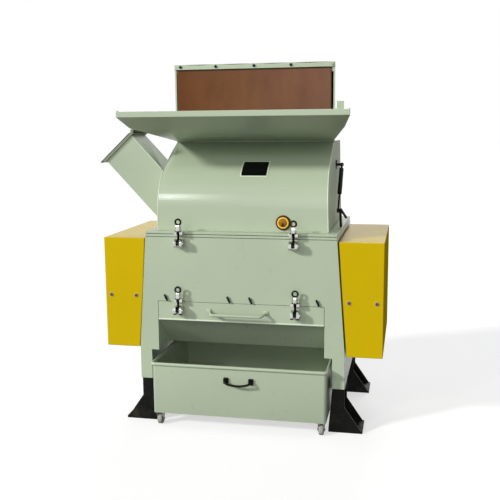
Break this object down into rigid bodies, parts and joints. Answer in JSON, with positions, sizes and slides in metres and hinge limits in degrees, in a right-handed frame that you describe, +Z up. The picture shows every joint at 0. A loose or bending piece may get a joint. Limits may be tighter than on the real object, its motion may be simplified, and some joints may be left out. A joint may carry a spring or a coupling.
{
  "type": "plastic crusher",
  "caption": "Plastic crusher with a curtained feed hopper and tray, lidded side chute, swing-bolt clamps, yellow belt guards, anchored feet and a roll-out granule bin",
  "frame": {"origin": "centre of the four anchor holes at floor level", "axes": "+X to the operator's right, +Y to the rear of the machine, +Z up"},
  "size_m": [1.3843, 0.924, 1.736],
  "materials": {
    "body_paint": "pale grey-green paint, satin",
    "guard_paint": "yellow paint, satin",
    "foot_paint": "black paint, satin",
    "gasket_rubber": "dark flat rubber",
    "curtain_rubber": "red-brown rubber sheet",
    "lid_steel": "dark bare steel",
    "clamp_steel": "zinc-plated steel",
    "bolt_steel": "dark oxide steel",
    "screen_steel": "bare steel",
    "plate_black": "black with a pale edge",
    "knob_plastic": "amber plastic",
    "strut_black": "black, gloss",
    "handle_plastic": "black",
    "caster_steel": "zinc-plated steel",
    "wheel_rubber": "grey rubber"
  },
  "bodies": {
    "machine": {"front_plate": "body_paint", "rear_plate": "body_paint", "left_side_plate": "body_paint", "right_side_plate": "body_paint", "left_chamber_wall": "body_paint", "right_chamber_wall": "body_paint", "body_flange": "body_paint", "cover_flange": "body_paint", "screen_flap": "body_paint", "front_slope": "body_paint", "rear_slope": "body_paint", "cover_shell": "body_paint", "side_chute": "body_paint", "hopper_shell": "body_paint", "curtain_strip": "body_paint", "feed_tray": "body_paint", "flap_handle": "body_paint", "left_guard": "guard_paint", "right_guard": "guard_paint", "left_front_foot": "foot_paint", "right_front_foot": "foot_paint", "left_rear_foot": "foot_paint", "right_rear_foot": "foot_paint", "seam_gasket": "gasket_rubber", "curtain": "curtain_rubber", "clamp_mounts": "clamp_steel", "guard_screws": "bolt_steel", "front_studs": "bolt_steel", "screen_cradle": "screen_steel", "name_plate": "plate_black", "lock_knob": "knob_plastic", "gas_strut": "strut_black", "strut_brackets": "strut_black"},
    "bin": {"bin_box": "body_paint", "bin_handle": "handle_plastic", "caster_forks": "caster_steel"},
    "chute_lid_body": {"chute_lid": "lid_steel"},
    "upper_left_bolt_body": {"upper_left_swing_bolt": "clamp_steel"},
    "upper_right_bolt_body": {"upper_right_swing_bolt": "clamp_steel"},
    "lower_left_bolt_body": {"lower_left_swing_bolt": "clamp_steel"},
    "lower_right_bolt_body": {"lower_right_swing_bolt": "clamp_steel"},
    "front_left_wheel_body": {"front_left_wheel": "wheel_rubber"},
    "front_right_wheel_body": {"front_right_wheel": "wheel_rubber"},
    "rear_left_wheel_body": {"rear_left_wheel": "wheel_rubber"},
    "rear_right_wheel_body": {"rear_right_wheel": "wheel_rubber"}
  },
  "joints": [
    {"name": "bin_slide", "type": "slide", "parent": "machine", "child": "bin", "axis": [0, -1, 0], "range_m": [0, 0.6]},
    {"name": "chute_lid_hinge", "type": "hinge", "parent": "machine", "child": "chute_lid_body", "pos_m": [-0.55078, -0.1525, 1.41264], "axis": [0, 1, 0], "range_deg": [0, 100]},
    {"name": "upper_left_bolt_swing", "type": "hinge", "parent": "machine", "child": "upper_left_bolt_body", "pos_m": [-0.282, -0.41, 0.891], "axis": [1, 0, 0], "range_deg": [0, 150]},
    {"name": "upper_right_bolt_swing", "type": "hinge", "parent": "machine", "child": "upper_right_bolt_body", "pos_m": [0.26, -0.41, 0.891], "axis": [1, 0, 0], "range_deg": [0, 150]},
    {"name": "lower_left_bolt_swing", "type": "hinge", "parent": "machine", "child": "lower_left_bolt_body", "pos_m": [-0.29, -0.41, 0.569], "axis": [1, 0, 0], "range_deg": [0, 150]},
    {"name": "lower_right_bolt_swing", "type": "hinge", "parent": "machine", "child": "lower_right_bolt_body", "pos_m": [0.268, -0.41, 0.569], "axis": [1, 0, 0], "range_deg": [0, 150]},
    {"name": "front_left_wheel_spin", "type": "hinge", "parent": "bin", "child": "front_left_wheel_body", "pos_m": [-0.392, -0.403, 0.025], "axis": [1, 0, 0], "continuous": true},
    {"name": "front_right_wheel_spin", "type": "hinge", "parent": "bin", "child": "front_right_wheel_body", "pos_m": [0.392, -0.403, 0.025], "axis": [1, 0, 0], "continuous": true},
    {"name": "rear_left_wheel_spin", "type": "hinge", "parent": "bin", "child": "rear_left_wheel_body", "pos_m": [-0.392, 0.125, 0.025], "axis": [1, 0, 0], "continuous": true},
    {"name": "rear_right_wheel_spin", "type": "hinge", "parent": "bin", "child": "rear_right_wheel_body", "pos_m": [0.392, 0.125, 0.025], "axis": [1, 0, 0], "continuous": true}
  ]
}
